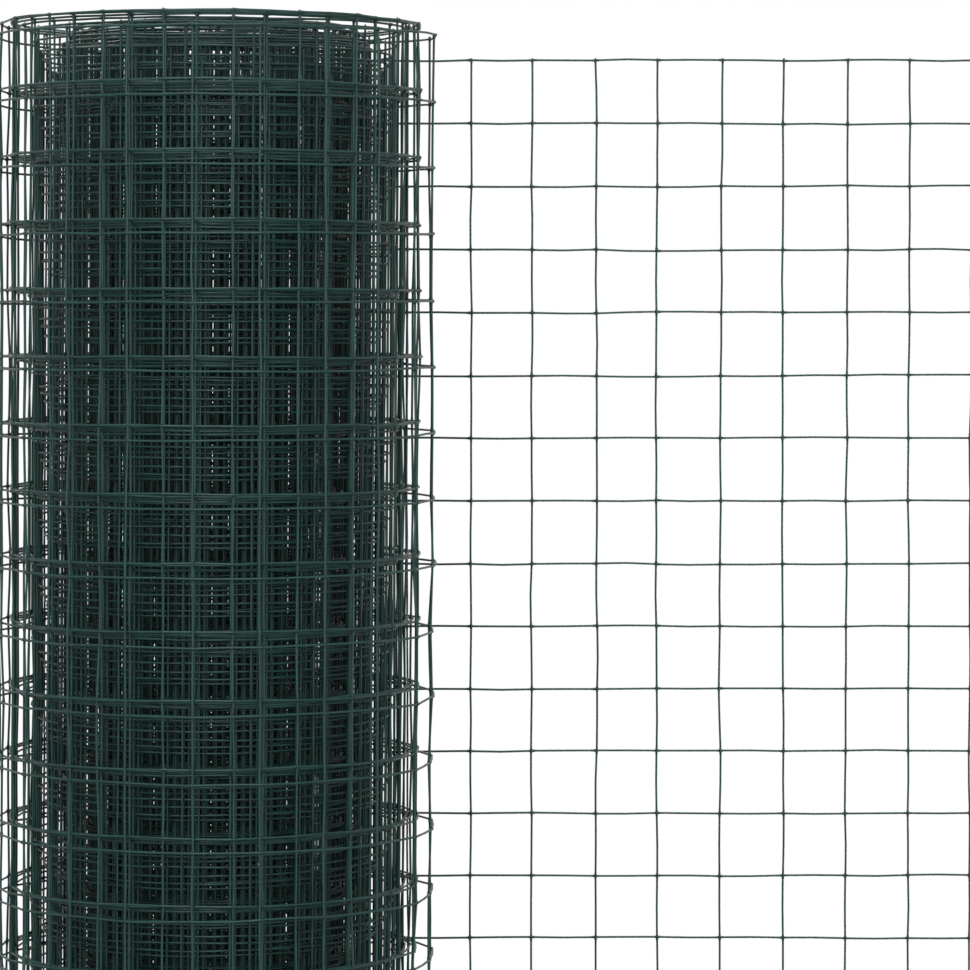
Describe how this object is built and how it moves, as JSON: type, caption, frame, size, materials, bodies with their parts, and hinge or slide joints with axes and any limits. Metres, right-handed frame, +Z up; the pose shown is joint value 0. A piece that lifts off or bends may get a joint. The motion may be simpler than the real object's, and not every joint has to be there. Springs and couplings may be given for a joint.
{
  "type": "roll of wire fencing",
  "caption": "Standing roll of dark green plastic-coated square welded wire mesh, wound round an open bore, with its loose end drawn out flat.",
  "frame": {"origin": "centre of the bore on the floor, on which the core turns stand", "axes": "+Z up along the roll's axis, +X the way the loose end runs, +Y towards the back, where it leaves the roll"},
  "size_m": [0.8094, 0.3309, 1.047],
  "materials": {
    "coated_wire": "smooth semi-gloss dark green plastic coat on steel wire"
  },
  "bodies": {
    "root": {"rolled_turns": "coated_wire", "loose_end": "coated_wire"}
  },
  "joints": []
}
